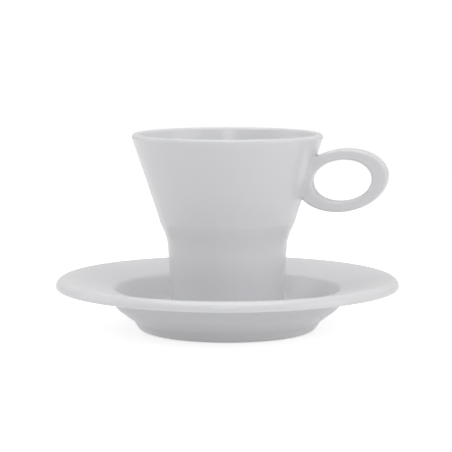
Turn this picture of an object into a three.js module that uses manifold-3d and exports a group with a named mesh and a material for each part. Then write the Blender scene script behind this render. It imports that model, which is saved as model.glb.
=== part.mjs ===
// A teacup standing on its saucer, in plain white glazed porcelain.
// Sizes are in millimetres and angles in degrees. +Z is up, the handle points along +X, and the origin is
// where the common axis meets the table, at the middle of the saucer's foot ring.

import * as THREE from "three";
import { mergeVertices } from "three/addons/utils/BufferGeometryUtils.js";
import Module from "manifold-3d";

// Saucer, from the rim inwards
const SAUCER_RADIUS = 75;
const SAUCER_HEIGHT = 23.65; // where the top of the flange would meet the outside of the rim
const RIM_THICKNESS = 4.75;
const RIM_TOP_ROUND = 3.5;
const RIM_UNDER_ROUND = 0.55;
const FLANGE_RISE = 5.2; // the flange climbs this much from the well to the rim
const FLANGE_ROOT_THICKNESS = 3.75;
const WELL_MOUTH_RADIUS = 49.45;
const WELL_MOUTH_ROUND = 3;
const WELL_DEPTH = 11.25;
const WELL_FLOOR_RADIUS = 42;
const WELL_FLOOR_ROUND = 9;
const BOWL_WALL = 4.8; // measured level, between the well's wall and the bowl's outside
const BOWL_KNEE_HEIGHT = 10;
const BOWL_KNEE_ROUND = 9;
const BOWL_ROOT_ROUND = 4; // hollow corner where the bowl's outside meets the flange
const SEAT_DEPTH = 0.9; // shallow step in the well's floor that keeps the cup in the middle
const SEAT_CLEARANCE = 1.4; // around the cup's foot
const SEAT_EDGE_SLOPE = 0.7;

// Saucer foot ring
const SAUCER_FOOT_RADIUS = 38.2; // where the side of the ring would meet the table
const SAUCER_FOOT_WIDTH = 5;
const SAUCER_FOOT_FLARE = 2.9; // the ring widens this much on its way up to the bowl
const SAUCER_FOOT_HEIGHT = 4.4;
const SAUCER_FOOT_ROUND = 4; // outer corner, which leaves a narrow flat to stand on
const SAUCER_FOOT_ROOT_ROUND = 3;
const SAUCER_RECESS = 3;
const FOOT_CORNER_ROUND = 0.8;
const FOOT_ROOT_ROUND = 1.3;

// Cup wall, heights taken from the cup's own foot
const CUP_HEIGHT = 79.2;
const CUP_RIM_RADIUS = 42.1; // where the outside wall would meet the plane of the rim
const CUP_WALL = 3.2;
const SHOULDER_RADIUS = 29.4;
const SHOULDER_HEIGHT = 40.6;
const SHOULDER_ROUND = 5;
const WALL_FLARE = 0.35; // how far the wall above the shoulder bows in from a straight cone
const WAIST_RADIUS = 26.2; // foot of the shoulder, top of the lower section
const WAIST_HEIGHT = 33.5;
const WAIST_ROUND = 20;
const BASE_RADIUS = 24.7;
const BASE_HEIGHT = 4.6;
const BASE_ROUND = 4;
const CUP_FLOOR_HEIGHT = 5.4;
const CUP_FLOOR_ROUND = 8;

// Cup foot ring
const CUP_FOOT_RADIUS = 22.7;
const CUP_FOOT_WIDTH = 2.8;
const CUP_RECESS = 1.9;
const SEAT_GAP = 0.3; // between the cup's foot and its seat in the saucer

// Loop handle, an oval ring luted to the wall
const LOOP_LENGTH = 39.8;
const LOOP_HEIGHT = 26.8;
const FINGER_HOLE_LENGTH = 25.9;
const FINGER_HOLE_HEIGHT = 18;
const LOOP_WIDTH = 9;
const LOOP_EDGE_ROUND = 1.2;
const LOOP_TILT = 9; // the outer end is raised
const LOOP_CENTRE_HEIGHT = 59.6;
const LOOP_WEB = 1.9; // between the cup's wall and the finger hole, at the loop's middle
const LOOP_ROOT_ROUND = 2; // hollow corner where the loop leaves the wall, above and below
const LUTE_GAP = 0.3; // between the handle's seat and the wall

// How finely round forms are cut into flats
const TURN_STEPS = 56;
const ARC_SAG = 0.1; // most that a flat may stand off its arc
const FLARE_STEPS = 5;
const LOOP_STEPS = 56;
const EDGE_STEPS = 3;
const ROUND_SHARE = 0.98; // most of a straight side that the rounds at its two ends may take
const HALVINGS = 40; // passes of the search for a point by halving
const SAME_POINT = 1e-3; // points nearer than this are one

const wasm = await Module();
wasm.setup();

const porcelain = () => new THREE.MeshStandardMaterial({ color: 0xdedee1, roughness: 0.15, metalness: 0 });

const corner = (r, z, round = 0) => ({ point: new THREE.Vector2(r, z), round });

// Number of flats for an arc, from its radius and its turn in radians.
function arcSteps(radius, turn) {
  const most = 2 * Math.acos(Math.max(0, 1 - ARC_SAG / radius));
  return Math.max(1, Math.ceil(Math.abs(turn) / most));
}

// Turns a list of corners into an outline, with an arc at each corner that has a round.
// A round is limited by the straight sides next to it, which two neighbours share by their sizes.
function roundedOutline(corners) {
  const outline = [];
  corners.forEach(({ point, round }, i) => {
    if (round === 0) {
      outline.push(point);
      return;
    }
    const neighbours = [corners[i - 1], corners[i + 1]];
    const [before, after] = neighbours.map((next) => next.point.clone().sub(point));
    const [shareBefore, shareAfter] = neighbours.map((next) => (ROUND_SHARE * round) / (round + next.round));
    const room = Math.min(shareBefore * before.length(), shareAfter * after.length());
    before.normalize();
    after.normalize();
    const way = Math.sign(after.cross(before)) || 1;
    const half = Math.acos(THREE.MathUtils.clamp(before.dot(after), -1, 1)) / 2;
    const reach = Math.min(round / Math.tan(half), room);
    const radius = reach * Math.tan(half);
    const middle = before.clone().add(after).normalize();
    const centre = middle.multiplyScalar(Math.hypot(reach, radius)).add(point);
    const from = before.multiplyScalar(reach).add(point).sub(centre);
    const turn = Math.PI - 2 * half;
    const steps = arcSteps(radius, turn);
    for (let step = 0; step <= steps; step += 1) {
      const spoke = from.clone().rotateAround(new THREE.Vector2(), (way * turn * step) / steps);
      outline.push(spoke.add(centre));
    }
  });
  return outline;
}

// Spins an outline about the Z axis. The outline starts and ends on the axis.
function turned(outline) {
  const geometry = new THREE.LatheGeometry(outline, TURN_STEPS);
  geometry.rotateX(Math.PI / 2);
  return geometry;
}

function solidOf(geometry) {
  const bare = geometry.clone();
  bare.deleteAttribute("normal");
  bare.deleteAttribute("uv");
  const merged = mergeVertices(bare, SAME_POINT);
  const vertProperties = Float32Array.from(merged.attributes.position.array);
  const triVerts = Uint32Array.from(merged.index.array);
  return new wasm.Manifold(new wasm.Mesh({ numProp: 3, vertProperties, triVerts }));
}

function geometryOf(solid) {
  const { vertProperties, triVerts } = solid.getMesh();
  const geometry = new THREE.BufferGeometry();
  geometry.setAttribute("position", new THREE.BufferAttribute(vertProperties, 3));
  geometry.setIndex(new THREE.BufferAttribute(triVerts, 1));
  return geometry;
}

function namedMesh(name, geometry) {
  const mesh = new THREE.Mesh(geometry, porcelain());
  mesh.name = name;
  return mesh;
}

// The wall above the shoulder bows in a little between its two ends, so that it flares towards the rim.
function flaredWall(lower, upper) {
  const middle = lower.clone().add(upper).multiplyScalar(0.5);
  const along = upper.clone().sub(lower).normalize();
  const inwards = new THREE.Vector2(-along.y, along.x);
  const pull = middle.addScaledVector(inwards, 2 * WALL_FLARE);
  const points = new THREE.QuadraticBezierCurve(lower, pull, upper).getPoints(FLARE_STEPS);
  return points.slice(1, -1).map((p) => corner(p.x, p.y));
}

// Outside of the cup from its base to its rim, moved inwards by an inset.
function wallCorners(inset) {
  const shoulder = new THREE.Vector2(SHOULDER_RADIUS - inset, SHOULDER_HEIGHT);
  const rim = new THREE.Vector2(CUP_RIM_RADIUS - inset, CUP_HEIGHT);
  return [
    corner(WAIST_RADIUS - inset, WAIST_HEIGHT, WAIST_ROUND),
    corner(shoulder.x, shoulder.y, SHOULDER_ROUND),
    ...flaredWall(shoulder, rim),
    corner(rim.x, rim.y, CUP_WALL / 2),
  ];
}

// The part of the cup's outline that stands outside, from the foot to the rim.
function outsideCorners() {
  return [
    corner(CUP_FOOT_RADIUS, 0, FOOT_CORNER_ROUND),
    corner(BASE_RADIUS, BASE_HEIGHT, BASE_ROUND),
    ...wallCorners(0),
  ];
}

function cupBody() {
  const footInside = CUP_FOOT_RADIUS - CUP_FOOT_WIDTH;
  const corners = [
    corner(0, CUP_RECESS),
    corner(footInside, CUP_RECESS, FOOT_ROOT_ROUND),
    corner(footInside, 0, FOOT_CORNER_ROUND),
    ...outsideCorners(),
    ...wallCorners(CUP_WALL).reverse(),
    corner(BASE_RADIUS - CUP_WALL, CUP_FLOOR_HEIGHT, CUP_FLOOR_ROUND),
    corner(0, CUP_FLOOR_HEIGHT),
  ];
  return turned(roundedOutline(corners));
}

// The cup with no hollow, grown by the luting gap, which cuts the handle's seat.
function wallCutter() {
  const outside = roundedOutline([corner(0, 0), ...outsideCorners(), corner(0, CUP_HEIGHT)]);
  return outside.map((p) => new THREE.Vector2(p.x > 0 ? p.x + LUTE_GAP : 0, p.y));
}

// Radius of an outline at a height, on its first side that reaches it.
function radiusAt(outline, height) {
  const i = outline.findIndex((p, k) => k > 0 && p.y >= height && outline[k - 1].y < height);
  const below = outline[i - 1];
  const above = outline[i];
  return THREE.MathUtils.mapLinear(height, below.y, above.y, below.x, above.x);
}

// One oval of the loop, about the loop's centre.
class Oval {
  constructor(centre, length, height) {
    this.centre = centre;
    this.half = new THREE.Vector2(length / 2, height / 2);
    this.tilt = THREE.MathUtils.degToRad(LOOP_TILT);
  }

  point(angle) {
    const p = new THREE.Vector2(this.half.x * Math.cos(angle), this.half.y * Math.sin(angle));
    return p.rotateAround(new THREE.Vector2(), this.tilt).add(this.centre);
  }

  normal(angle) {
    const n = new THREE.Vector2(this.half.y * Math.cos(angle), this.half.x * Math.sin(angle)).normalize();
    return n.rotateAround(new THREE.Vector2(), this.tilt);
  }

  points(from, to) {
    const steps = Math.ceil((LOOP_STEPS * Math.abs(to - from)) / (2 * Math.PI));
    const angles = Array.from({ length: steps + 1 }, (_, k) => from + ((to - from) * k) / steps);
    return angles.map((angle) => this.point(angle));
  }
}

// Angle on an oval where the loop's root round touches both the oval and the wall beside it.
function rootAngle(oval, wall, clear, covered) {
  let [out, inside] = [clear, covered];
  for (let pass = 0; pass < HALVINGS; pass += 1) {
    const angle = (out + inside) / 2;
    const centre = oval.normal(angle).multiplyScalar(LOOP_ROOT_ROUND).add(oval.point(angle));
    if (centre.x - radiusAt(wall, centre.y) > LOOP_ROOT_ROUND) {
      out = angle;
    } else {
      inside = angle;
    }
  }
  return (out + inside) / 2;
}

// Hollow corner from the oval to the wall, as points that start on the oval.
function rootArc(oval, angle) {
  const away = oval.normal(angle);
  const centre = away.clone().multiplyScalar(LOOP_ROOT_ROUND).add(oval.point(angle));
  const from = away.negate().angle();
  const turn = Math.PI - from;
  const steps = arcSteps(LOOP_ROOT_ROUND, turn);
  return Array.from({ length: steps + 1 }, (_, k) => {
    const at = from + (turn * k) / steps;
    return new THREE.Vector2(Math.cos(at), Math.sin(at)).multiplyScalar(LOOP_ROOT_ROUND).add(centre);
  });
}

function cupHandle() {
  const wall = wallCutter();
  const halfHole = FINGER_HOLE_LENGTH / 2;
  const wallRadius = radiusAt(wall, LOOP_CENTRE_HEIGHT);
  const centre = new THREE.Vector2(wallRadius + LOOP_WEB + halfHole, LOOP_CENTRE_HEIGHT);
  const loop = new Oval(centre, LOOP_LENGTH, LOOP_HEIGHT);
  const hole = new Oval(centre, FINGER_HOLE_LENGTH, FINGER_HOLE_HEIGHT);
  const top = rootAngle(loop, wall, Math.PI / 2, Math.PI);
  const bottom = rootAngle(loop, wall, -Math.PI / 2, -Math.PI);
  const upper = rootArc(loop, top).slice(1);
  const lower = rootArc(loop, bottom).slice(1);
  const depth = Math.min(upper.at(-1).x, lower.at(-1).x) - CUP_WALL;
  const shape = new THREE.Shape([
    ...loop.points(bottom, top),
    ...upper,
    new THREE.Vector2(depth, upper.at(-1).y),
    new THREE.Vector2(depth, lower.at(-1).y),
    ...lower.reverse(),
  ]);
  shape.holes.push(new THREE.Path(hole.points(0, 2 * Math.PI).slice(1)));
  const geometry = new THREE.ExtrudeGeometry(shape, {
    depth: LOOP_WIDTH - 2 * LOOP_EDGE_ROUND,
    bevelThickness: LOOP_EDGE_ROUND,
    bevelSize: LOOP_EDGE_ROUND,
    bevelOffset: -LOOP_EDGE_ROUND,
    bevelSegments: EDGE_STEPS,
  });
  geometry.translate(0, 0, LOOP_EDGE_ROUND - LOOP_WIDTH / 2);
  geometry.rotateX(Math.PI / 2);
  return geometryOf(solidOf(geometry).subtract(solidOf(turned(wall))));
}

const wellMouthHeight = SAUCER_HEIGHT - FLANGE_RISE;
const wellFloorHeight = wellMouthHeight - WELL_DEPTH;
const seatHeight = wellFloorHeight - SEAT_DEPTH;

function saucer() {
  const footInside = SAUCER_FOOT_RADIUS - SAUCER_FOOT_WIDTH;
  const flangeUnderside = wellMouthHeight - FLANGE_ROOT_THICKNESS;
  const wellRadiusAt = (z) =>
    THREE.MathUtils.mapLinear(z, wellFloorHeight, wellMouthHeight, WELL_FLOOR_RADIUS, WELL_MOUTH_RADIUS);
  const seatRadius = CUP_FOOT_RADIUS + SEAT_CLEARANCE;
  const corners = [
    corner(0, SAUCER_RECESS),
    corner(footInside, SAUCER_RECESS, FOOT_ROOT_ROUND),
    corner(footInside, 0, FOOT_CORNER_ROUND),
    corner(SAUCER_FOOT_RADIUS, 0, SAUCER_FOOT_ROUND),
    corner(SAUCER_FOOT_RADIUS + SAUCER_FOOT_FLARE, SAUCER_FOOT_HEIGHT, SAUCER_FOOT_ROOT_ROUND),
    corner(wellRadiusAt(BOWL_KNEE_HEIGHT) + BOWL_WALL, BOWL_KNEE_HEIGHT, BOWL_KNEE_ROUND),
    corner(wellRadiusAt(flangeUnderside) + BOWL_WALL, flangeUnderside, BOWL_ROOT_ROUND),
    corner(SAUCER_RADIUS, SAUCER_HEIGHT - RIM_THICKNESS, RIM_UNDER_ROUND),
    corner(SAUCER_RADIUS, SAUCER_HEIGHT, RIM_TOP_ROUND),
    corner(WELL_MOUTH_RADIUS, wellMouthHeight, WELL_MOUTH_ROUND),
    corner(WELL_FLOOR_RADIUS, wellFloorHeight, WELL_FLOOR_ROUND),
    corner(seatRadius + SEAT_EDGE_SLOPE, wellFloorHeight, SEAT_DEPTH),
    corner(seatRadius, seatHeight, SEAT_DEPTH),
    corner(0, seatHeight),
  ];
  return turned(roundedOutline(corners));
}

const cup = new THREE.Group();
cup.position.z = seatHeight + SEAT_GAP;
cup.add(namedMesh("cup_body", cupBody()));
cup.add(namedMesh("cup_handle", cupHandle()));

const teacupAndSaucer = new THREE.Group();
teacupAndSaucer.add(namedMesh("saucer", saucer()));
teacupAndSaucer.add(cup);

export default teacupAndSaucer;
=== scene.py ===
"""Looks of a plain porcelain teacup on its saucer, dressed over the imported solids.

Sizes of the pieces are in millimetres, as a potter's drawing gives them, and each mesh is brought to metres
when it is finished. The common axis is Z, the handle points along +X and the table is at height 0.
"""

import logging
import math
from dataclasses import dataclass, field
from enum import Enum
from itertools import pairwise

import bmesh
import bpy
from bmesh.types import BMEdge, BMesh, BMVert
from mathutils import Matrix, Vector


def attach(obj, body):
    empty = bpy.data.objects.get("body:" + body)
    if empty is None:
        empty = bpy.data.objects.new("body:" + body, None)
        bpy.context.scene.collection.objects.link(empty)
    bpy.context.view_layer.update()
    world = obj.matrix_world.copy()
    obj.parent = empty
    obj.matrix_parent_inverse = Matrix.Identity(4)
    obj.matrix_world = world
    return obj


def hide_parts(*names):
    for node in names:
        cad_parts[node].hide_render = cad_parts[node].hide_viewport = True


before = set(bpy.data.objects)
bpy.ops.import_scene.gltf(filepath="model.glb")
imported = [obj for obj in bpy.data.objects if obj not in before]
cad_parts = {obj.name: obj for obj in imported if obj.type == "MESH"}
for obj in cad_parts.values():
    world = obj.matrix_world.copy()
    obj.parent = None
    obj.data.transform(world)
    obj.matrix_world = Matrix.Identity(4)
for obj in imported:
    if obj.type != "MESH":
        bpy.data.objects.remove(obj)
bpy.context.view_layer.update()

LOG = logging.getLogger("teacup")

MM = 0.001
SEAT_GAP = 0.3  # between the cup's foot and its seat, as in the solids
# Hollow or proud at each point: glaze pooling tint, plus painted shade in hollows and a painted highlight on
# edges
POOL_SHADE_AND_HIGHLIGHT = "pool_shade_and_highlight"

Colour = tuple[float, float, float]
Point = tuple[float, float, float]


class Body(str, Enum):
    """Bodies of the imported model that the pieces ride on."""

    SAUCER = "saucer"
    CUP = "cup"


class Slot(str, Enum):
    """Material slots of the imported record."""

    PORCELAIN = "white_porcelain"


class Piece(str, Enum):
    """Finished pieces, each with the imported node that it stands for."""

    SAUCER = "saucer"
    CUP_BODY = "cup_body"
    CUP_HANDLE = "cup_handle"

    @property
    def shown_as(self) -> str:
        """Name of the piece's object."""
        return f"{self.value}_glazed"


# Turning


@dataclass(frozen=True)
class Corner:
    """A corner of a turned outline.

    Attributes:
        radius: Distance from the axis.
        height: Height above the outline's own foot.
        round: Radius of the arc that takes the corner off; 0 leaves it sharp.
    """

    radius: float
    height: float
    round: float = 0.0

    @property
    def at(self) -> Vector:
        """The corner's point in the outline's plane."""
        return Vector((self.radius, 0.0, self.height))


def new_clay() -> BMesh:
    """Starts an empty mesh whose points can note how hollow or proud they are, for glaze pooling with painted
    shade and highlight.

    Returns:
        The mesh.
    """
    mesh = bmesh.new()
    mesh.verts.layers.float.new(POOL_SHADE_AND_HIGHLIGHT)
    return mesh


def line_to(mesh: BMesh, pen: BMVert, to: Vector) -> BMVert:
    """Draws a straight edge.

    Args:
        mesh: The mesh to draw in.
        pen: The edge's first point.
        to: Where the edge ends.

    Returns:
        The edge's last point.
    """
    end = bmesh.ops.extrude_vert_indiv(mesh, verts=[pen])["verts"][0]
    bmesh.ops.translate(mesh, verts=[end], vec=to - end.co)
    return end


def walk(first: BMVert) -> list[BMVert]:
    """Lists the points of an open chain of edges.

    Args:
        first: The point at one of its ends.

    Returns:
        The points in order.
    """
    chain = [first, first.link_edges[0].other_vert(first)]
    while len(chain[-1].link_edges) == 2:
        ends = [edge.other_vert(chain[-1]) for edge in chain[-1].link_edges]
        chain.append(ends[1] if ends[0] is chain[-2] else ends[0])
    return chain


def mark_pool_shade_and_highlight(
    mesh: BMesh, outward: dict[BMVert, Vector], full_bend: float = 0.25, passes: int = 6
) -> None:
    """Notes how hollow or proud each point is, for glaze pooling with painted shade and thin glaze with a
    painted highlight: 1 in a hollow corner, -1 on a proud edge, 0 on a plain wall.

    Args:
        mesh: The wall, or its outline before it is turned, in millimetres.
        outward: Direction out of the clay at each point.
        full_bend: Bend per millimetre at which the glaze has gathered or drawn off in full, and the painted
            shade or highlight is full.
        passes: Times that the value is spread to the neighbouring points.
    """
    layer = mesh.verts.layers.float[POOL_SHADE_AND_HIGHLIGHT]
    near = {vert: [edge.other_vert(vert) for edge in vert.link_edges] for vert in mesh.verts}
    pool_shade_mark: dict[BMVert, float] = {}
    for vert, others in near.items():
        sides = [other.co - vert.co for other in others]
        bend = sum(2 * side.dot(outward[vert]) / side.length_squared for side in sides) / len(sides)
        pool_shade_mark[vert] = max(-1.0, min(1.0, bend / full_bend))
    for _ in range(passes):
        pool_shade_mark = {
            vert: (own + sum(pool_shade_mark[other] for other in near[vert])) / (1 + len(near[vert]))
            for vert, own in pool_shade_mark.items()
        }
    for vert, own in pool_shade_mark.items():
        vert[layer] = own


@dataclass
class Lathe:
    """Draws an outline with lines and arcs, and spins it into a closed wall.

    Attributes:
        turn_steps: Flats round the full turn.
        arc_step: Widest turn of one flat of an arc, in degrees.
        longest_side: Longest straight side left undivided.
        round_share: Most of a straight side that the rounds at its two ends may take.
        weld: Points nearer than this are joined.
    """

    turn_steps: int = 192
    arc_step: float = 5.0
    longest_side: float = 2.5
    round_share: float = 0.98
    weld: float = 1e-4

    def turn(self, corners: list[Corner]) -> BMesh:
        """Turns an outline that starts and ends on the axis.

        Args:
            corners: The outline's corners in order.

        Returns:
            The closed, outward-facing wall.
        """
        mesh = new_clay()
        self._draw(mesh, corners)
        self._divide(mesh)
        ends = [vert for vert in mesh.verts if len(vert.link_edges) == 1]
        first = min(ends, key=lambda vert: (vert.co - corners[0].at).length)
        mark_pool_shade_and_highlight(mesh, self._outward(walk(first)))
        bmesh.ops.spin(
            mesh,
            geom=mesh.verts[:] + mesh.edges[:],
            cent=(0, 0, 0),
            axis=(0, 0, 1),
            angle=math.tau,
            steps=self.turn_steps,
            use_merge=True,
        )
        bmesh.ops.remove_doubles(mesh, verts=mesh.verts[:], dist=self.weld)
        bmesh.ops.recalc_face_normals(mesh, faces=mesh.faces[:])
        return mesh

    def _reaches(self, corners: list[Corner]) -> list[float]:
        """Works out how far the arc at each corner reaches along the straight sides beside it.

        Args:
            corners: The outline's corners in order.

        Returns:
            One reach per corner, cut down where two neighbours ask for more than their side.
        """
        asked = [0.0] * len(corners)
        for i, (before, here, after) in enumerate(zip(corners, corners[1:], corners[2:]), start=1):
            half = (before.at - here.at).angle(after.at - here.at) / 2
            asked[i] = here.round / math.tan(half)
        fits = asked[:]
        for i, (here, after) in enumerate(pairwise(corners)):
            room = self.round_share * (after.at - here.at).length
            both = asked[i] + asked[i + 1]
            if both > room:
                fits[i] = min(fits[i], asked[i] * room / both)
                fits[i + 1] = min(fits[i + 1], asked[i + 1] * room / both)
        return fits

    def _draw(self, mesh: BMesh, corners: list[Corner]) -> None:
        """Draws the outline as a chain of edges.

        Args:
            mesh: The mesh to draw in.
            corners: The outline's corners in order.
        """
        pen = mesh.verts.new(corners[0].at)
        reaches = self._reaches(corners)
        for i in range(1, len(corners) - 1):
            before, here, after = (corner.at for corner in corners[i - 1 : i + 2])
            if reaches[i]:
                pen = self._round_corner(mesh, pen, here, before - here, after - here, reaches[i])
            else:
                pen = line_to(mesh, pen, here)
        line_to(mesh, pen, corners[-1].at)

    def _round_corner(
        self, mesh: BMesh, pen: BMVert, here: Vector, back: Vector, ahead: Vector, reach: float
    ) -> BMVert:
        """Draws the line up to a corner and the arc that rounds it.

        Args:
            mesh: The mesh to draw in.
            pen: The last point drawn.
            here: The corner.
            back: The way to the corner before it.
            ahead: The way to the corner after it.
            reach: How far the arc reaches along both ways.

        Returns:
            The point where the arc ends.
        """
        back, ahead = back.normalized(), ahead.normalized()
        half = back.angle(ahead) / 2
        turn = math.pi - 2 * half
        pen = line_to(mesh, pen, here + back * reach)
        arc = bmesh.ops.spin(
            mesh,
            geom=[pen],
            cent=here + (back + ahead).normalized() * (reach / math.cos(half)),
            axis=ahead.cross(back).normalized(),
            angle=turn,
            steps=math.ceil(math.degrees(turn) / self.arc_step),
            use_merge=False,
        )
        return arc["geom_last"][0]

    @staticmethod
    def _outward(chain: list[BMVert]) -> dict[BMVert, Vector]:
        """Finds the way out of the clay along an outline, which lies on the right of its line.

        Args:
            chain: The outline's points in order.

        Returns:
            The outward unit vector of each point.
        """
        out: dict[BMVert, Vector] = {}
        for before, here, after in zip([chain[0], *chain], chain, [*chain[1:], chain[-1]]):
            along = after.co - before.co
            out[here] = Vector((along.z, 0.0, -along.x)).normalized()
        return out

    def _divide(self, mesh: BMesh) -> None:
        """Divides the outline's long straight sides.

        Args:
            mesh: The mesh that holds the outline.
        """
        for edge in mesh.edges[:]:
            cuts = int(edge.calc_length() / self.longest_side)
            if cuts:
                bmesh.ops.subdivide_edges(mesh, edges=[edge], cuts=cuts)


def finish_piece(piece: Piece, body: Body, mesh: BMesh, lift: float = 0.0) -> bpy.types.Object:
    """Makes the object of a finished mesh and puts it on its body.

    Args:
        piece: The piece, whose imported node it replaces.
        body: The body that it rides on.
        mesh: The mesh in millimetres, which is freed.
        lift: Height of the mesh's own foot above the table.

    Returns:
        The new object, at the origin, with its place in its mesh.
    """
    bmesh.ops.translate(mesh, verts=mesh.verts[:], vec=(0, 0, lift))
    bmesh.ops.scale(mesh, verts=mesh.verts[:], vec=(MM, MM, MM))
    for face in mesh.faces:
        face.smooth = True
    data = bpy.data.meshes.new(piece.shown_as)
    mesh.to_mesh(data)
    mesh.free()
    made = bpy.data.objects.new(piece.shown_as, data)
    bpy.context.scene.collection.objects.link(made)
    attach(made, body.value)
    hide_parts(piece.value)
    return made


# Finishes


@dataclass(frozen=True)
class Glaze:
    """Clear bright glaze over a white porcelain body.

    Attributes:
        colour: Plain wall.
        hollow_pool_shade: Hollow corners, where the glaze lies thick and bluer, darkened further as painted
            shade.
        edge_glaze_lit: Proud edges, where the glaze draws off thin, lightened further as a painted highlight.
        cloud: How much the tone drifts over the wall.
        roughness: Gloss of the plain wall.
        roughness_drift: How much the gloss drifts.
        ior: Refraction of the glaze, which sets how strongly it mirrors.
        wave: Depth of the long waves in the glaze, in metres.
        peel: Depth of its fine dimpling, in metres.
    """

    colour: Colour = (0.797, 0.798, 0.818)
    # Hollows darker and edges lighter than the plain wall: partly glaze pooling and thinning, partly painted
    # shade and painted highlight
    hollow_pool_shade: Colour = (0.758, 0.761, 0.788)
    edge_glaze_lit: Colour = (0.827, 0.828, 0.842)
    cloud: float = 0.015
    roughness: float = 0.2
    roughness_drift: float = 0.03
    ior: float = 1.5
    wave: float = 0.00004
    peel: float = 0.000002


@dataclass(frozen=True)
class BareClay:
    """Fired body without glaze, where a foot was wiped so that it wouldn't stick in the kiln.

    Attributes:
        colour: The bare body.
        roughness: Its roughness.
        band: Height of the wiped band above the foot, in metres.
        ragged: How far the glaze line wanders, in metres.
        grain: Depth of the body's grain, in metres.
    """

    colour: Colour = (0.66, 0.645, 0.615)
    roughness: float = 0.7
    band: float = 0.0006
    ragged: float = 0.0003
    grain: float = 0.00003


class Kind(str, Enum):
    """Sockets that a node group may have."""

    VALUE = "NodeSocketFloat"
    COLOUR = "NodeSocketColor"
    VECTOR = "NodeSocketVector"


class NodeBench:
    """A node tree with short ways to add and join nodes."""

    def __init__(self, tree: bpy.types.NodeTree) -> None:
        """Takes over a tree and empties it.

        Args:
            tree: The tree to work on.
        """
        self.tree = tree
        self.tree.nodes.clear()

    def add(self, kind: str, **settings: object) -> bpy.types.Node:
        """Adds a node.

        Args:
            kind: The node's type name.
            **settings: Values of the node's own properties.

        Returns:
            The new node.
        """
        node = self.tree.nodes.new(kind)
        for name, value in settings.items():
            setattr(node, name, value)
        return node

    def feed(self, socket: bpy.types.NodeSocket, value: object) -> None:
        """Joins an output to a socket, or sets the socket to a plain value.

        Args:
            socket: The input socket.
            value: An output socket, a number or a tuple.
        """
        if isinstance(value, bpy.types.NodeSocket):
            self.tree.links.new(value, socket)
        elif isinstance(value, tuple) and socket.type == "RGBA":
            socket.default_value = (*value, 1.0)
        else:
            socket.default_value = value

    def math(self, operation: str, *values: object) -> bpy.types.NodeSocket:
        """Adds a math node.

        Args:
            operation: The node's operation.
            *values: Its inputs in order.

        Returns:
            The result's socket.
        """
        node = self.add("ShaderNodeMath", operation=operation)
        for socket, value in zip(node.inputs, values):
            self.feed(socket, value)
        return node.outputs["Value"]

    def blend(self, share: object, first: object, second: object) -> bpy.types.NodeSocket:
        """Adds a colour mix.

        Args:
            share: Share of the second colour.
            first: The first colour.
            second: The second colour.

        Returns:
            The mixed colour's socket.
        """
        node = self.add("ShaderNodeMix", data_type="RGBA")
        self.feed(node.inputs["Factor"], share)
        self.feed(node.inputs[6], first)
        self.feed(node.inputs[7], second)
        return node.outputs[2]

    def mix(self, share: object, first: object, second: object) -> bpy.types.NodeSocket:
        """Adds a mix of two values.

        Args:
            share: Share of the second value.
            first: The first value.
            second: The second value.

        Returns:
            The mixed value's socket.
        """
        node = self.add("ShaderNodeMix", data_type="FLOAT")
        self.feed(node.inputs["Factor"], share)
        self.feed(node.inputs[2], first)
        self.feed(node.inputs[3], second)
        return node.outputs[0]

    def noise(self, where: object, scale: float, detail: float = 2.0) -> bpy.types.NodeSocket:
        """Adds a noise from -0.5 to 0.5.

        Args:
            where: The coordinates.
            scale: Waves per metre.
            detail: Octaves of finer noise.

        Returns:
            The noise's socket.
        """
        node = self.add("ShaderNodeTexNoise")
        self.feed(node.inputs["Vector"], where)
        self.feed(node.inputs["Scale"], scale)
        self.feed(node.inputs["Detail"], detail)
        return self.math("SUBTRACT", node.outputs["Fac"], 0.5)


def new_group(name: str, inputs: dict[str, Kind], outputs: dict[str, Kind]) -> tuple[NodeBench, dict, dict]:
    """Makes an empty shader node group.

    Args:
        name: The group's name.
        inputs: Its input sockets.
        outputs: Its output sockets.

    Returns:
        The group's bench, its inputs to read from and its outputs to feed, by name.
    """
    tree = bpy.data.node_groups.new(name, "ShaderNodeTree")
    for label, kind in inputs.items():
        tree.interface.new_socket(label, in_out="INPUT", socket_type=kind.value)
    for label, kind in outputs.items():
        tree.interface.new_socket(label, in_out="OUTPUT", socket_type=kind.value)
    bench = NodeBench(tree)
    source, sink = bench.add("NodeGroupInput"), bench.add("NodeGroupOutput")
    return bench, {k: source.outputs[k] for k in inputs}, {k: sink.inputs[k] for k in outputs}


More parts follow.
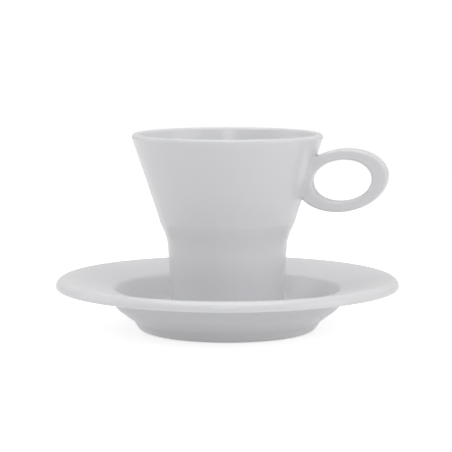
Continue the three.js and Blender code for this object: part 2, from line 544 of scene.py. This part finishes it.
class Porcelain:
    """Makes the porcelain materials from the glaze and the bare clay.

    Attributes:
        WAVES: Long waves of the glaze per metre. The other four scales are per metre too.
        CLOUDS: Drifts of its tone.
        PEEL: Fine dimples.
        GRAIN: Grains of the bare clay.
        RAGGED: Wanderings of the line where the glaze ends.
        FADE: Share of the wiped band in which the clay is quite bare.
    """

    WAVES = 45.0
    CLOUDS = 28.0
    PEEL = 650.0
    GRAIN = 2600.0
    RAGGED = 160.0
    FADE = 0.6

    def __init__(self, glaze: Glaze, clay: BareClay) -> None:
        """Builds the node groups that all the materials share.

        Args:
            glaze: The glaze.
            clay: The bare body.
        """
        self.glaze = glaze
        self.clay = clay
        self.glaze_group = self._glaze_group()
        self.foot_group = self._foot_group()

    def _glaze_group(self) -> bpy.types.NodeTree:
        """Makes the group that tints, waves and dims the glaze, with painted shade in hollows and a painted
        highlight on proud edges.

        Returns:
            The group.
        """
        bench, given, out = new_group(
            "porcelain_glaze",
            {
                "Vector": Kind.VECTOR,
                # Depth: the hollow-or-proud mark that carries the pooling tint, painted shade and painted
                # highlight
                "Depth": Kind.VALUE,
                "Plain": Kind.COLOUR,
                "Hollow Pool Shade": Kind.COLOUR,
                "Edge Glaze Lit": Kind.COLOUR,
                "Cloud": Kind.VALUE,
                "Gloss": Kind.VALUE,
                "Gloss Drift": Kind.VALUE,
                "Wave": Kind.VALUE,
                "Peel": Kind.VALUE,
            },
            {"Color": Kind.COLOUR, "Roughness": Kind.VALUE, "Height": Kind.VALUE},
        )
        where = given["Vector"]
        # Darker, bluer glaze in hollows is partly pooling tint and partly painted shade; lighter glaze on
        # proud edges is partly thin glaze and partly a painted highlight
        hollow_pool_shade = bench.math("MAXIMUM", given["Depth"], 0.0)
        proud = bench.math("MAXIMUM", bench.math("MULTIPLY", given["Depth"], -1.0), 0.0)
        tint = bench.blend(hollow_pool_shade, given["Plain"], given["Hollow Pool Shade"])
        tint = bench.blend(proud, tint, given["Edge Glaze Lit"])
        drift = bench.math("MULTIPLY", bench.noise(where, self.CLOUDS), given["Cloud"])
        shade = bench.add("ShaderNodeHueSaturation")
        bench.feed(shade.inputs["Value"], bench.math("ADD", drift, 1.0))
        bench.feed(shade.inputs["Color"], tint)
        bench.feed(out["Color"], shade.outputs["Color"])
        dull = bench.math("MULTIPLY", bench.noise(where, self.WAVES, detail=4.0), given["Gloss Drift"])
        bench.feed(out["Roughness"], bench.math("ADD", dull, given["Gloss"]))
        waves = bench.math("MULTIPLY", bench.noise(where, self.WAVES, detail=0.0), given["Wave"])
        peel = bench.math("MULTIPLY", bench.noise(where, self.PEEL), given["Peel"])
        bench.feed(out["Height"], bench.math("ADD", waves, peel))
        return bench.tree

    def _foot_group(self) -> bpy.types.NodeTree:
        """Makes the group that masks the wiped band of a foot.

        Returns:
            The group.
        """
        bench, given, out = new_group(
            "wiped_foot",
            {
                "Vector": Kind.VECTOR,
                "Foot": Kind.VALUE,
                "Band": Kind.VALUE,
                "Ragged": Kind.VALUE,
                "Grain": Kind.VALUE,
            },
            {"Mask": Kind.VALUE, "Height": Kind.VALUE},
        )
        where = given["Vector"]
        split = bench.add("ShaderNodeSeparateXYZ")
        bench.feed(split.inputs["Vector"], where)
        above = bench.math("SUBTRACT", split.outputs["Z"], given["Foot"])
        wander = bench.math("MULTIPLY", bench.noise(where, self.RAGGED), given["Ragged"])
        edge = bench.add("ShaderNodeMapRange", interpolation_type="SMOOTHSTEP")
        bench.feed(edge.inputs["Value"], bench.math("ADD", above, wander))
        bench.feed(edge.inputs["From Min"], given["Band"])
        bench.feed(edge.inputs["From Max"], bench.math("MULTIPLY", given["Band"], self.FADE))
        bench.feed(out["Mask"], edge.outputs["Result"])
        grain = bench.noise(where, self.GRAIN, detail=3.0)
        bench.feed(out["Height"], bench.math("MULTIPLY", grain, given["Grain"]))
        return bench.tree

    def material(self, name: str, foot: float | None) -> bpy.types.Material:
        """Makes the material of one piece.

        Args:
            name: The material's name.
            foot: Height of the piece's wiped foot in metres, or None where it has no foot.

        Returns:
            The material.
        """
        made = bpy.data.materials.new(name)
        made.use_nodes = True
        bench = NodeBench(made.node_tree)
        where = bench.add("ShaderNodeTexCoord").outputs["Object"]
        # Hollow-or-proud mark: glaze pooling tint, with painted shade in hollows and a painted highlight on
        # proud edges
        pool_shade_mark = bench.add("ShaderNodeAttribute", attribute_name=POOL_SHADE_AND_HIGHLIGHT).outputs["Fac"]
        coat = bench.add("ShaderNodeGroup", node_tree=self.glaze_group)
        glaze = self.glaze
        for label, value in {
            "Vector": where,
            "Depth": pool_shade_mark,
            "Plain": glaze.colour,
            "Hollow Pool Shade": glaze.hollow_pool_shade,
            "Edge Glaze Lit": glaze.edge_glaze_lit,
            "Cloud": glaze.cloud,
            "Gloss": glaze.roughness,
            "Gloss Drift": glaze.roughness_drift,
            "Wave": glaze.wave,
            "Peel": glaze.peel,
        }.items():
            bench.feed(coat.inputs[label], value)
        colour, rough, height = (coat.outputs[k] for k in ("Color", "Roughness", "Height"))
        if foot is not None:
            wiped = bench.add("ShaderNodeGroup", node_tree=self.foot_group)
            clay = self.clay
            for label, value in {
                "Vector": where,
                "Foot": foot,
                "Band": clay.band,
                "Ragged": clay.ragged,
                "Grain": clay.grain,
            }.items():
                bench.feed(wiped.inputs[label], value)
            mask = wiped.outputs["Mask"]
            colour = bench.blend(mask, colour, clay.colour)
            rough = bench.mix(mask, rough, clay.roughness)
            height = bench.mix(mask, height, wiped.outputs["Height"])
        bump = bench.add("ShaderNodeBump")
        bench.feed(bump.inputs["Distance"], 1.0)  # the heights are in metres already
        bench.feed(bump.inputs["Height"], height)
        shader = bench.add("ShaderNodeBsdfPrincipled")
        bench.feed(shader.inputs["Base Color"], colour)
        bench.feed(shader.inputs["Roughness"], rough)
        bench.feed(shader.inputs["Normal"], bump.outputs["Normal"])
        bench.feed(shader.inputs["IOR"], glaze.ior)
        sink = bench.add("ShaderNodeOutputMaterial")
        bench.feed(sink.inputs["Surface"], shader.outputs["BSDF"])
        return made


# Sub-assemblies


@dataclass
class Saucer:
    """Saucer with a wide dished flange, a rolled rim, a deep well with a shallow seat, and a foot ring.

    Heights are from the table.
    """

    radius: float = 75.0
    height: float = 23.65
    rim_thickness: float = 4.75
    rim_top_round: float = 3.5
    rim_under_round: float = 0.55
    flange_rise: float = 5.2
    flange_root_thickness: float = 3.75
    well_mouth_radius: float = 49.45
    well_mouth_round: float = 3.0
    well_depth: float = 11.25
    well_floor_radius: float = 42.0
    well_floor_round: float = 9.0
    bowl_wall: float = 4.8
    bowl_knee_height: float = 10.0
    bowl_knee_round: float = 9.0
    bowl_root_round: float = 4.0
    seat_radius: float = 24.1
    seat_depth: float = 0.9
    seat_edge_slope: float = 0.7
    foot_radius: float = 38.2
    foot_width: float = 5.0
    foot_flare: float = 2.9
    foot_height: float = 4.4
    foot_outer_round: float = 4.0
    foot_bowl_round: float = 3.0
    foot_recess: float = 3.0
    foot_corner_round: float = 0.8
    foot_root_round: float = 1.3
    lathe: Lathe = field(default_factory=Lathe)

    @property
    def well_mouth_height(self) -> float:
        """Height of the flange's inner edge."""
        return self.height - self.flange_rise

    @property
    def well_floor_height(self) -> float:
        """Height of the well's floor."""
        return self.well_mouth_height - self.well_depth

    @property
    def seat_height(self) -> float:
        """Height of the seat that the cup stands in."""
        return self.well_floor_height - self.seat_depth

    def well_radius_at(self, height: float) -> float:
        """Radius of the well's straight wall at a height.

        Args:
            height: Height above the table.

        Returns:
            The radius.
        """
        share = (height - self.well_floor_height) / self.well_depth
        return self.well_floor_radius + share * (self.well_mouth_radius - self.well_floor_radius)

    def outline(self) -> list[Corner]:
        """Lists the outline's corners from the underside to the seat.

        Returns:
            The corners.
        """
        foot_inside = self.foot_radius - self.foot_width
        underside = self.well_mouth_height - self.flange_root_thickness
        knee = self.bowl_knee_height
        return [
            Corner(0, self.foot_recess),
            Corner(foot_inside, self.foot_recess, self.foot_root_round),
            Corner(foot_inside, 0, self.foot_corner_round),
            Corner(self.foot_radius, 0, self.foot_outer_round),
            Corner(self.foot_radius + self.foot_flare, self.foot_height, self.foot_bowl_round),
            Corner(self.well_radius_at(knee) + self.bowl_wall, knee, self.bowl_knee_round),
            Corner(self.well_radius_at(underside) + self.bowl_wall, underside, self.bowl_root_round),
            Corner(self.radius, self.height - self.rim_thickness, self.rim_under_round),
            Corner(self.radius, self.height, self.rim_top_round),
            Corner(self.well_mouth_radius, self.well_mouth_height, self.well_mouth_round),
            Corner(self.well_floor_radius, self.well_floor_height, self.well_floor_round),
            Corner(self.seat_radius + self.seat_edge_slope, self.well_floor_height, self.seat_depth),
            Corner(self.seat_radius, self.seat_height, self.seat_depth),
            Corner(0, self.seat_height),
        ]

    def build(self) -> list[bpy.types.Object]:
        """Makes the saucer's piece.

        Returns:
            The piece.
        """
        return [finish_piece(Piece.SAUCER, Body.SAUCER, self.lathe.turn(self.outline()))]

    def dress(self, pieces: list[bpy.types.Object], porcelain: Porcelain) -> None:
        """Gives the saucer its glaze.

        Args:
            pieces: The saucer's pieces.
            porcelain: The maker of porcelain materials.
        """
        glazed = porcelain.material("saucer_porcelain", foot=0.0)
        for piece in pieces:
            piece.data.materials.append(glazed)


@dataclass
class CupWall:
    """Outside wall of the cup: a straight lower section, a soft shoulder and a flared cone up to the rim.

    Heights are from the cup's own foot.
    """

    height: float = 79.2
    rim_radius: float = 42.1
    thickness: float = 3.2
    flare: float = 0.35
    flare_reach: float = 0.8
    shoulder_radius: float = 29.4
    shoulder_height: float = 40.6
    shoulder_round: float = 5.0
    waist_radius: float = 26.2
    waist_height: float = 33.5
    waist_round: float = 20.0

    def share_at(self, height: float) -> float:
        """How far up the cone a height is: 0 at the shoulder, 1 at the rim."""
        return (height - self.shoulder_height) / (self.height - self.shoulder_height)

    def slope(self, height: float) -> float:
        """Slope of the cone's outside.

        Args:
            height: Height above the cup's foot.

        Returns:
            The radius gained per height.
        """
        rise = self.height - self.shoulder_height
        bow = 4 * self.flare * (1 - 2 * self.share_at(height))
        return (self.rim_radius - self.shoulder_radius - bow) / rise

    def radius_at(self, height: float) -> float:
        """Radius of the cone's outside.

        Args:
            height: Height above the cup's foot, from the shoulder up.

        Returns:
            The radius.
        """
        share = self.share_at(height)
        straight = self.shoulder_radius + share * (self.rim_radius - self.shoulder_radius)
        return straight - 4 * self.flare * share * (1 - share)

    def outward(self, point: Vector) -> Vector:
        """Direction square to the cone's outside near a point.

        Args:
            point: The point.

        Returns:
            The outward unit vector.
        """
        level = Vector((point.x, point.y, 0.0)).normalized()
        return (level - Vector((0, 0, self.slope(point.z)))).normalized()

    def clearance(self, point: Vector) -> float:
        """Distance from the cone's outside to a point, square to it."""
        slope = self.slope(point.z)
        return (math.hypot(point.x, point.y) - self.radius_at(point.z)) / math.hypot(1.0, slope)

    def corners(self, inset: float) -> list[Corner]:
        """Lists the wall's corners from the waist to the rim.

        Args:
            inset: How far the wall is moved inwards.

        Returns:
            The corners.
        """
        shoulder = Corner(self.shoulder_radius - inset, self.shoulder_height, self.shoulder_round)
        rim = Corner(self.rim_radius - inset, self.height, self.thickness / 2)
        along = rim.at - shoulder.at
        inwards = Vector((-along.z, 0.0, along.x)).normalized()
        pull = (shoulder.at + rim.at) / 2 + inwards * (2 * self.flare)
        half_turn = math.atan(4 * self.flare / along.length)
        bow = Corner(pull.x, pull.z, self.flare_reach * along.length / 2 / math.tan(half_turn))
        waist = Corner(self.waist_radius - inset, self.waist_height, self.waist_round)
        return [waist, shoulder, bow, rim]


@dataclass
class LoopHandle:
    """Oval ring luted to the cup's wall, with its outer end raised.

    Heights are from the cup's own foot.
    """

    length: float = 39.8
    height: float = 26.8
    hole_length: float = 25.9
    hole_height: float = 18.0
    width: float = 9.0
    edge_round: float = 1.2
    tilt: float = 9.0
    centre_height: float = 59.6
    web: float = 1.9
    lute_gap: float = 0.3
    root_round: float = 1.5
    root_sink: float = 0.6
    steps: int = 144
    edge_steps: int = 6
    sharp_edge: float = 60.0
    widest_flat: float = 1.5
    flat_cuts: int = 3
    root_steps: int = 7
    steepest: float = 0.35

    def _oval(self, mesh: BMesh, length: float, height: float) -> list[BMEdge]:
        """Draws one oval flat about the origin.

        Args:
            mesh: The mesh to draw in.
            length: The oval's length, along X.
            height: The oval's height, along Y.

        Returns:
            The oval's edges.
        """
        ring = bmesh.ops.create_circle(mesh, segments=self.steps, radius=1.0, cap_ends=False)["verts"]
        bmesh.ops.scale(mesh, verts=ring, vec=(length / 2, height / 2, 1.0))
        return list({edge for vert in ring for edge in vert.link_edges})

    def _plate(self) -> BMesh:
        """Makes the whole oval ring, flat about the origin with rounded edges.

        Returns:
            The ring.
        """
        mesh = new_clay()
        outside = self._oval(mesh, self.length, self.height)
        hole = self._oval(mesh, self.hole_length, self.hole_height)
        bmesh.ops.bridge_loops(mesh, edges=outside + hole)
        grown = bmesh.ops.extrude_face_region(mesh, geom=mesh.faces[:])["geom"]
        bmesh.ops.translate(mesh, verts=[x for x in grown if isinstance(x, BMVert)], vec=(0, 0, self.width))
        bmesh.ops.translate(mesh, verts=mesh.verts[:], vec=(0, 0, -self.width / 2))
        bmesh.ops.recalc_face_normals(mesh, faces=mesh.faces[:])
        sharp = [edge for edge in mesh.edges if edge.calc_face_angle(0.0) > math.radians(self.sharp_edge)]
        bmesh.ops.bevel(
            mesh,
            geom=sharp,
            offset=self.edge_round,
            affect="EDGES",
            segments=self.edge_steps,
            profile=0.5,
            material=-1,
        )
        flats = [edge for edge in mesh.edges if edge.calc_length() > self.widest_flat]
        bmesh.ops.subdivide_edges(mesh, edges=flats, cuts=self.flat_cuts, use_grid_fill=True)
        return mesh

    def _place(self, mesh: BMesh, wall: CupWall) -> None:
        """Stands the ring up beside the wall.

        Args:
            mesh: The flat ring.
            wall: The wall that it is luted to.
        """
        middle = wall.radius_at(self.centre_height) + self.lute_gap + self.web + self.hole_length / 2
        turn = Matrix.Rotation(math.radians(90), 3, "X") @ Matrix.Rotation(math.radians(self.tilt), 3, "Z")
        bmesh.ops.rotate(mesh, verts=mesh.verts[:], cent=(0, 0, 0), matrix=turn)
        bmesh.ops.translate(mesh, verts=mesh.verts[:], vec=(middle, 0, self.centre_height))

    def _cut_root(self, mesh: BMesh, wall: CupWall) -> list[BMEdge]:
        """Cuts off the part of the ring that would stand in the wall, a root's round short of it.

        Args:
            mesh: The ring in its place.
            wall: The wall.

        Returns:
            The open edges that are left at the root.
        """
        touch = Vector((wall.radius_at(self.centre_height), 0.0, self.centre_height))
        out = wall.outward(touch)
        bmesh.ops.bisect_plane(
            mesh,
            geom=mesh.verts[:] + mesh.edges[:] + mesh.faces[:],
            plane_co=touch + out * self.root_round,
            plane_no=out,
            clear_inner=True,
        )
        return [edge for edge in mesh.edges if edge.is_boundary]

    def _roll_root(self, mesh: BMesh, wall: CupWall, rim: list[BMEdge]) -> None:
        """Rolls the open root out on to the wall in a hollow corner, and closes it inside the wall.

        Args:
            mesh: The cut ring.
            wall: The wall.
            rim: The open edges at the root.
        """
        mesh.normal_update()
        paths: dict[BMVert, tuple[Vector, Vector, Vector, Vector]] = {}
        for vert in {vert for edge in rim for vert in edge.verts}:
            before, after = (edge.other_vert(vert) for edge in vert.link_edges if edge.is_boundary)
            along = (after.co - before.co).normalized()
            out = wall.outward(vert.co)
            down = vert.normal.cross(along)
            down *= -math.copysign(1.0, down.dot(out))
            gap = wall.clearance(vert.co)
            bend = vert.co + down * (gap / max(-down.dot(out), self.steepest))
            spread = (vert.normal - out * vert.normal.dot(out)).normalized()
            paths[vert] = (vert.co.copy(), bend, bend + spread * self.root_round, out)
        for step in range(1, self.root_steps + 2):
            share = min(step / self.root_steps, 1.0)
            made = bmesh.ops.extrude_edge_only(mesh, edges=rim)["geom"]
            rim = [x for x in made if isinstance(x, BMEdge) and x.is_boundary]
            drawn = {x for x in made if isinstance(x, BMVert)}
            paths = {
                other: path
                for vert, path in paths.items()
                for other in [edge.other_vert(vert) for edge in vert.link_edges]
                if other in drawn
            }
            for vert, (start, bend, end, out) in paths.items():
                vert.co = start * (1 - share) ** 2 + bend * (2 * share * (1 - share)) + end * share**2
                if step > self.root_steps:
                    vert.co -= out * self.root_sink
        bmesh.ops.triangle_fill(mesh, edges=rim, use_beauty=True)
        bmesh.ops.recalc_face_normals(mesh, faces=mesh.faces[:])

    def mesh(self, wall: CupWall) -> BMesh:
        """Makes the handle.

        Args:
            wall: The wall that it is luted to.

        Returns:
            The closed handle, with heights from the cup's foot.
        """
        mesh = self._plate()
        self._place(mesh, wall)
        self._roll_root(mesh, wall, self._cut_root(mesh, wall))
        mesh.normal_update()
        mark_pool_shade_and_highlight(mesh, {vert: vert.normal.copy() for vert in mesh.verts})
        return mesh


@dataclass
class Cup:
    """Cup with its foot ring, its flared wall and its loop handle.

    Heights are from the cup's own foot.
    """

    foot_lift: float
    base_radius: float = 24.7
    base_height: float = 4.6
    base_round: float = 4.0
    floor_height: float = 5.4
    floor_round: float = 8.0
    foot_radius: float = 22.7
    foot_width: float = 2.8
    foot_recess: float = 1.9
    foot_corner_round: float = 0.8
    foot_root_round: float = 1.3
    wall: CupWall = field(default_factory=CupWall)
    handle: LoopHandle = field(default_factory=LoopHandle)
    lathe: Lathe = field(default_factory=Lathe)

    def outline(self) -> list[Corner]:
        """Lists the outline's corners from the underside, over the rim, to the floor inside.

        Returns:
            The corners.
        """
        foot_inside = self.foot_radius - self.foot_width
        thickness = self.wall.thickness
        return [
            Corner(0, self.foot_recess),
            Corner(foot_inside, self.foot_recess, self.foot_root_round),
            Corner(foot_inside, 0, self.foot_corner_round),
            Corner(self.foot_radius, 0, self.foot_corner_round),
            Corner(self.base_radius, self.base_height, self.base_round),
            *self.wall.corners(0.0),
            *reversed(self.wall.corners(thickness)),
            Corner(self.base_radius - thickness, self.floor_height, self.floor_round),
            Corner(0, self.floor_height),
        ]

    def build(self) -> list[bpy.types.Object]:
        """Makes the cup's pieces.

        Returns:
            The body and the handle.
        """
        body = finish_piece(Piece.CUP_BODY, Body.CUP, self.lathe.turn(self.outline()), self.foot_lift)
        handle = finish_piece(Piece.CUP_HANDLE, Body.CUP, self.handle.mesh(self.wall), self.foot_lift)
        return [body, handle]

    def dress(self, pieces: list[bpy.types.Object], porcelain: Porcelain) -> None:
        """Gives the cup its glaze.

        Args:
            pieces: The body and the handle.
            porcelain: The maker of porcelain materials.
        """
        body, handle = pieces
        body.data.materials.append(porcelain.material("cup_porcelain", foot=self.foot_lift * MM))
        handle.data.materials.append(porcelain.material("handle_porcelain", foot=None))


# Studio


@dataclass(frozen=True)
class Softbox:
    """A square soft lamp.

    Attributes:
        name: The lamp's name.
        place: Where it hangs, in metres.
        side: Length of its side, in metres.
        power: Its power, in watts.
    """

    name: str
    place: Point
    side: float
    power: float


@dataclass
class Studio:
    """White table, soft lamps and the camera at the photograph's angle.

    Attributes:
        softboxes: The lamps, which all face the cup.
        aim: The point that they face.
        sky: Level of the light from all round.
        table_half: Half the table's side.
        table_drop: How far the table lies under the foot ring, so that no faces meet.
        table_bounce: Share of light that the table throws back on the cup.
        table_light: Level of the table's own light on the cup.
        table_shade: How strongly the table shows the lamps' light and the cup's shadow to the camera.
        table_white: White that it shows to the camera by itself.
        mirrored: Share of the white room that reflections show.
        camera_distance: Level distance from the axis to the camera.
        camera_height: Height of the camera.
        camera_azimuth: Degrees from the front towards the handle.
        camera_pitch: Degrees that it looks down.
        lens: Focal length in millimetres.
        shift: Sideways shift of the frame, as a share of its width.
    """

    softboxes: tuple[Softbox, ...] = (
        Softbox("overhead_softbox", (0.0, -0.05, 0.9), 0.8, 3.2),
        Softbox("handle_side_softbox", (1.2, -0.3, 0.5), 0.9, 2.8),
        Softbox("far_side_softbox", (-1.2, -0.1, 0.5), 0.9, 1.8),
        Softbox("front_softbox", (0.18, -1.1, 0.95), 0.3, 1.0),
    )
    aim: Point = (0.0, 0.0, 0.04)
    sky: float = 0.41
    table_half: float = 0.8
    table_drop: float = 0.0001
    table_bounce: float = 0.85
    table_light: float = 0.14
    table_shade: float = 0.95
    table_white: float = 0.55
    mirrored: float = 0.5
    camera_distance: float = 0.88
    camera_height: float = 0.14606
    camera_azimuth: float = 10.5
    camera_pitch: float = 6.535
    lens: float = 161.64
    shift: float = -0.0031

    def build(self) -> None:
        """Sets up the whole studio."""
        bpy.context.scene.view_settings.view_transform = "Standard"
        self._table()
        self._sky()
        for softbox in self.softboxes:
            self._lamp(softbox)
        self._camera()

    @staticmethod
    def _sum(bench: NodeBench, reflects: float, glows: float) -> bpy.types.NodeSocket:
        """Adds a plain white surface that reflects some light and gives some of its own.

        Args:
            bench: The bench of the surface's material.
            reflects: Share of light that it reflects.
            glows: Level of its own light.

        Returns:
            The surface's shader.
        """
        matt, glow = bench.add("ShaderNodeBsdfDiffuse"), bench.add("ShaderNodeEmission")
        bench.feed(matt.inputs["Color"], (reflects,) * 3)
        bench.feed(glow.inputs["Strength"], glows)
        both = bench.add("ShaderNodeAddShader")
        bench.feed(both.inputs[0], matt.outputs["BSDF"])
        bench.feed(both.inputs[1], glow.outputs["Emission"])
        return both.outputs["Shader"]

    @staticmethod
    def _choose(bench: NodeBench, share: object, first: object, second: object) -> bpy.types.NodeSocket:
        """Adds a mix of two shaders.

        Args:
            bench: The bench of the material.
            share: Share of the second shader.
            first: The first shader.
            second: The second shader.

        Returns:
            The mixed shader.
        """
        node = bench.add("ShaderNodeMixShader")
        for socket, value in zip(node.inputs, (share, first, second)):
            bench.feed(socket, value)
        return node.outputs["Shader"]

    def _seen(self, bench: NodeBench) -> bpy.types.NodeSocket:
        """Adds a mask of how white the room shows: in full to the camera, in part to a reflection.

        Args:
            bench: The bench of the material.

        Returns:
            The mask's socket.
        """
        path = bench.add("ShaderNodeLightPath").outputs
        mirrored = bench.math("MAXIMUM", path["Is Glossy Ray"], path["Is Transmission Ray"])
        mirrored = bench.math("MULTIPLY", mirrored, self.mirrored)
        return bench.math("MAXIMUM", path["Is Camera Ray"], mirrored)

    def _table(self) -> None:
        """Makes the white table, which takes the shadow and is clear from below."""
        mesh = bmesh.new()
        bmesh.ops.create_grid(mesh, x_segments=1, y_segments=1, size=self.table_half)
        bmesh.ops.translate(mesh, verts=mesh.verts[:], vec=(0, 0, -self.table_drop))
        data = bpy.data.meshes.new("white_table")
        mesh.to_mesh(data)
        mesh.free()
        table = bpy.data.objects.new("white_table", data)
        bpy.context.scene.collection.objects.link(table)
        made = bpy.data.materials.new("white_table")
        made.use_nodes = True
        bench = NodeBench(made.node_tree)
        lights = self._sum(bench, self.table_bounce, self.table_light)
        shows = self._sum(bench, self.table_shade, self.table_white)
        above = self._choose(bench, self._seen(bench), lights, shows)
        below = bench.add("ShaderNodeBsdfTransparent").outputs["BSDF"]
        surface = self._choose(bench, bench.add("ShaderNodeNewGeometry").outputs["Backfacing"], above, below)
        bench.feed(bench.add("ShaderNodeOutputMaterial").inputs["Surface"], surface)
        data.materials.append(made)

    def _sky(self) -> None:
        """Makes the light from all round, which shows as white."""
        world = bpy.data.worlds.new("white_room")
        world.use_nodes = True
        bpy.context.scene.world = world
        bench = NodeBench(world.node_tree)
        light, white = (bench.add("ShaderNodeBackground") for _ in range(2))
        bench.feed(light.inputs["Color"], (1.0, 1.0, 1.0))
        bench.feed(light.inputs["Strength"], self.sky)
        bench.feed(white.inputs["Color"], (1.0, 1.0, 1.0))
        bench.feed(white.inputs["Strength"], 1.0)
        lamps, room = light.outputs["Background"], white.outputs["Background"]
        shown = self._choose(bench, self._seen(bench), lamps, room)
        bench.feed(bench.add("ShaderNodeOutputWorld").inputs["Surface"], shown)

    def _lamp(self, softbox: Softbox) -> None:
        """Hangs one lamp.

        Args:
            softbox: The lamp.
        """
        data = bpy.data.lights.new(softbox.name, "AREA")
        data.size = softbox.side
        data.energy = softbox.power
        lamp = bpy.data.objects.new(softbox.name, data)
        lamp.location = softbox.place
        lamp.rotation_euler = (Vector(self.aim) - lamp.location).to_track_quat("-Z", "Y").to_euler()
        lamp.visible_camera = False
        bpy.context.scene.collection.objects.link(lamp)

    def _camera(self) -> None:
        """Puts the camera where the photograph was taken from."""
        data = bpy.data.cameras.new("front_camera")
        data.lens = self.lens
        data.shift_x = self.shift
        camera = bpy.data.objects.new("front_camera", data)
        turn = math.radians(self.camera_azimuth)
        camera.location = (
            self.camera_distance * math.sin(turn),
            -self.camera_distance * math.cos(turn),
            self.camera_height,
        )
        camera.rotation_euler = (math.radians(90.0 - self.camera_pitch), 0.0, turn)
        bpy.context.scene.collection.objects.link(camera)
        bpy.context.scene.camera = camera


def main() -> None:
    """Builds the studio, the saucer and the cup, and notes the size of what shows."""
    logging.basicConfig(level=logging.INFO, format="%(name)s: %(message)s")
    Studio().build()
    porcelain = Porcelain(Glaze(), BareClay())
    saucer = Saucer()
    for assembly in (saucer, Cup(foot_lift=saucer.seat_height + SEAT_GAP)):
        pieces = assembly.build()
        assembly.dress(pieces, porcelain)
        for piece in pieces:
            LOG.info("%s: %d faces", piece.name, len(piece.data.polygons))


if __name__ == "__main__":
    main()
